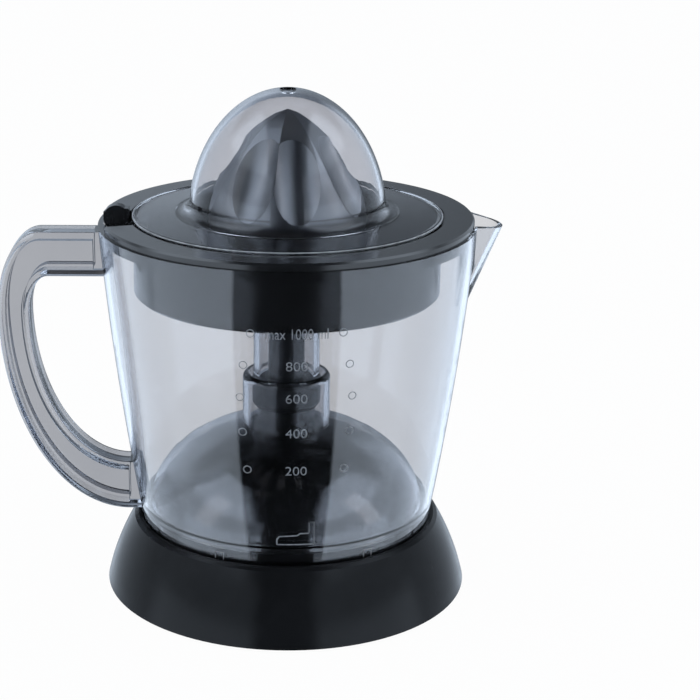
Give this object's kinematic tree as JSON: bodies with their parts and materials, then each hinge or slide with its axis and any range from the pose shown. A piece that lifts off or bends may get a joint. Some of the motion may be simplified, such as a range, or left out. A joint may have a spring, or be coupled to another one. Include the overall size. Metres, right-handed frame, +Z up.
{
  "type": "citrus press juicer",
  "caption": "Electric citrus press: flared base with geared drive, clear jug with handle and spout, strainer with pulp lever, fluted reamer and clear domed lid.",
  "frame": {"origin": "on the table plane, under the axis of the drive spindle", "axes": "+Z up along the spindle, +X towards the spout, -X towards the handle, -Y towards the front with the volume scale"},
  "size_m": [0.2055, 0.1532, 0.2097],
  "materials": {
    "black_gloss": "polished injection-moulded black",
    "black_ring": "polished black",
    "black_lever": "polished black",
    "black_reamer": "satin to gloss black",
    "black_matte": "fine moulded texture",
    "grey_drive": "dark grey moulded",
    "smoke_jug": "smoky clear",
    "smoke_handle": "smoky clear",
    "smoke_lid": "smoky clear",
    "rubber": "soft black",
    "steel": "plain",
    "brass": "turned",
    "copper_coil": "lacquered copper winding",
    "nylon": "natural white"
  },
  "bodies": {
    "base": {"base_housing": "black_gloss", "base_plate": "black_matte", "rubber_feet": "rubber", "centre_pad": "rubber", "plate_screws": "steel", "cord_gland": "rubber", "gearbox_plate": "nylon", "gearbox_screws": "steel", "plate_bush": "brass", "spindle_bush": "brass", "motor_can": "steel", "motor_coil": "copper_coil", "idler_axle": "steel", "switch_body": "black_matte", "return_spring": "steel"},
    "rotor": {"motor_rotor": "steel", "motor_pinion": "brass"},
    "idler": {"idler_gear": "nylon"},
    "spindle_carrier": {"spring_seat": "nylon", "thrust_washer": "steel"},
    "spindle": {"drive_spindle": "grey_drive", "output_gear": "nylon", "gear_clip": "steel", "coupling_cup": "grey_drive"},
    "switch_button": {"switch_plunger": "nylon"},
    "jug": {"jug": "smoke_jug", "jug_handle": "smoke_handle"},
    "strainer": {"strainer_basket": "black_ring"},
    "regulator": {"pulp_regulator": "black_lever"},
    "sleeve": {"shaft_bush": "nylon"},
    "reamer": {"reamer_cone": "black_reamer", "drive_shaft": "grey_drive"},
    "lid": {"lid": "smoke_lid"}
  },
  "joints": [
    {"name": "jug_lift", "type": "slide", "parent": "base", "child": "jug", "axis": [0, 0, 1], "range_m": [0, 0.12]},
    {"name": "strainer_lift", "type": "slide", "parent": "jug", "child": "strainer", "axis": [0, 0, 1], "range_m": [0, 0.11]},
    {"name": "lid_lift", "type": "slide", "parent": "strainer", "child": "lid", "axis": [0, 0, 1], "range_m": [0, 0.08]},
    {"name": "pulp_set", "type": "hinge", "parent": "strainer", "child": "regulator", "pos_m": [0, 0, 0.13], "axis": [0, 0, 1], "range_deg": [0, 12]},
    {"name": "cone_press", "type": "slide", "parent": "strainer", "child": "sleeve", "axis": [0, 0, -1], "range_m": [0, 0.0025]},
    {"name": "cone_spin", "type": "hinge", "parent": "sleeve", "child": "reamer", "pos_m": [0, 0, 0.147], "axis": [0, 0, 1], "continuous": true},
    {"name": "spindle_press", "type": "slide", "parent": "base", "child": "spindle_carrier", "axis": [0, 0, -1], "range_m": [0, 0.0025], "stiffness_N_per_m": 2000, "springref_m": -0.003, "deforming": ["return_spring"]},
    {"name": "spindle_spin", "type": "hinge", "parent": "spindle_carrier", "child": "spindle", "pos_m": [0, 0, 0.06], "axis": [0, 0, 1], "continuous": true},
    {"name": "idler_spin", "type": "hinge", "parent": "base", "child": "idler", "pos_m": [0.01711, 0.01957, 0.038], "axis": [0, 0, 1], "continuous": true},
    {"name": "rotor_spin", "type": "hinge", "parent": "base", "child": "rotor", "pos_m": [0.031, 0, 0.02], "axis": [0, 0, 1], "continuous": true},
    {"name": "switch_push", "type": "slide", "parent": "base", "child": "switch_button", "axis": [0, 0, -1], "range_m": [0, 0.0025]}
  ],
  "couplings": [
    {"joint": "cone_spin", "follows": "rotor_spin", "ratio": 0.1},
    {"joint": "spindle_spin", "follows": "rotor_spin", "ratio": 0.1},
    {"joint": "idler_spin", "follows": "rotor_spin", "ratio": -0.33333},
    {"joint": "cone_press", "follows": "spindle_press", "ratio": 1},
    {"joint": "switch_push", "follows": "spindle_press", "ratio": 1}
  ]
}
